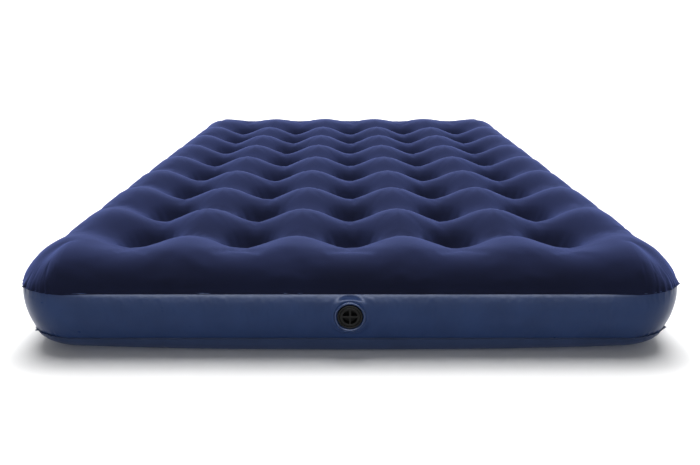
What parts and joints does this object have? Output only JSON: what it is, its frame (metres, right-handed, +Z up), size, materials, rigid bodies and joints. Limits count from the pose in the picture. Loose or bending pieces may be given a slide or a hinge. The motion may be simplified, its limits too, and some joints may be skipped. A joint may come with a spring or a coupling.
{
  "type": "air mattress",
  "caption": "Flocked double air mattress with a dimpled top, glossy side band, inner vinyl coils and a nested screw valve with a flap.",
  "frame": {"origin": "centre of the underside, at the bottom of the bounding box", "axes": "+X across the bed, +Y along the bed from the valve end to the head end, +Z up"},
  "size_m": [1.37, 1.915, 0.22],
  "materials": {
    "flock": "matte navy flock with a soft blue sheen at grazing angles",
    "gloss_vinyl": "glossy navy PVC film",
    "underside_vinyl": "satin navy PVC film",
    "coil_vinyl": "plain PVC film",
    "base_plastic": "moulded grey plastic",
    "valve_plastic": "satin black moulded plastic",
    "seal_rubber": "translucent silicone rubber",
    "pin_steel": "drawn steel wire"
  },
  "bodies": {
    "bed": {"top_panel": "flock", "side_band": "gloss_vinyl", "bottom_panel": "underside_vinyl", "valve_flange": "gloss_vinyl", "valve_base": "base_plastic", "coil_r1_c1": "coil_vinyl", "coil_r1_c2": "coil_vinyl", "coil_r1_c3": "coil_vinyl", "coil_r1_c4": "coil_vinyl", "coil_r1_c5": "coil_vinyl", "coil_r2_c1": "coil_vinyl", "coil_r2_c2": "coil_vinyl", "coil_r2_c3": "coil_vinyl", "coil_r2_c4": "coil_vinyl", "coil_r2_c5": "coil_vinyl", "coil_r3_c1": "coil_vinyl", "coil_r3_c2": "coil_vinyl", "coil_r3_c3": "coil_vinyl", "coil_r3_c4": "coil_vinyl", "coil_r3_c5": "coil_vinyl", "coil_r4_c1": "coil_vinyl", "coil_r4_c2": "coil_vinyl", "coil_r4_c3": "coil_vinyl", "coil_r4_c4": "coil_vinyl", "coil_r4_c5": "coil_vinyl", "coil_r5_c1": "coil_vinyl", "coil_r5_c2": "coil_vinyl", "coil_r5_c3": "coil_vinyl", "coil_r5_c4": "coil_vinyl", "coil_r5_c5": "coil_vinyl", "coil_r6_c1": "coil_vinyl", "coil_r6_c2": "coil_vinyl", "coil_r6_c3": "coil_vinyl", "coil_r6_c4": "coil_vinyl", "coil_r6_c5": "coil_vinyl", "coil_r7_c1": "coil_vinyl", "coil_r7_c2": "coil_vinyl", "coil_r7_c3": "coil_vinyl", "coil_r7_c4": "coil_vinyl", "coil_r7_c5": "coil_vinyl", "coil_r8_c1": "coil_vinyl", "coil_r8_c2": "coil_vinyl", "coil_r8_c3": "coil_vinyl", "coil_r8_c4": "coil_vinyl", "coil_r8_c5": "coil_vinyl"},
    "insert_ring": {"insert_seal": "seal_rubber"},
    "insert": {"valve_insert": "valve_plastic", "flap_pin": "pin_steel"},
    "cap_ring": {"cap_seal": "seal_rubber"},
    "cap": {"valve_cap": "valve_plastic"},
    "flap": {"valve_flap": "seal_rubber"}
  },
  "joints": [
    {"name": "insert_lift", "type": "slide", "parent": "bed", "child": "insert_ring", "axis": [0, -1, 0], "range_m": [0, 0.006]},
    {"name": "insert_turn", "type": "hinge", "parent": "insert_ring", "child": "insert", "pos_m": [0, -0.9525, 0.094], "axis": [0, -1, 0], "range_deg": [0, 540]},
    {"name": "cap_lift", "type": "slide", "parent": "insert", "child": "cap_ring", "axis": [0, -1, 0], "range_m": [0, 0.006]},
    {"name": "cap_turn", "type": "hinge", "parent": "cap_ring", "child": "cap", "pos_m": [0, -0.9525, 0.094], "axis": [0, -1, 0], "range_deg": [0, 540]},
    {"name": "flap_swing", "type": "hinge", "parent": "insert", "child": "flap", "pos_m": [0, -0.9316, 0.1096], "axis": [1, 0, 0], "range_deg": [0, 60], "stiffness_Nm_per_rad": 0.002, "springref_deg": -2.86}
  ],
  "couplings": [
    {"joint": "insert_lift", "follows": "insert_turn", "m_per_rad": 0.0006366},
    {"joint": "cap_lift", "follows": "cap_turn", "m_per_rad": 0.0006366}
  ]
}
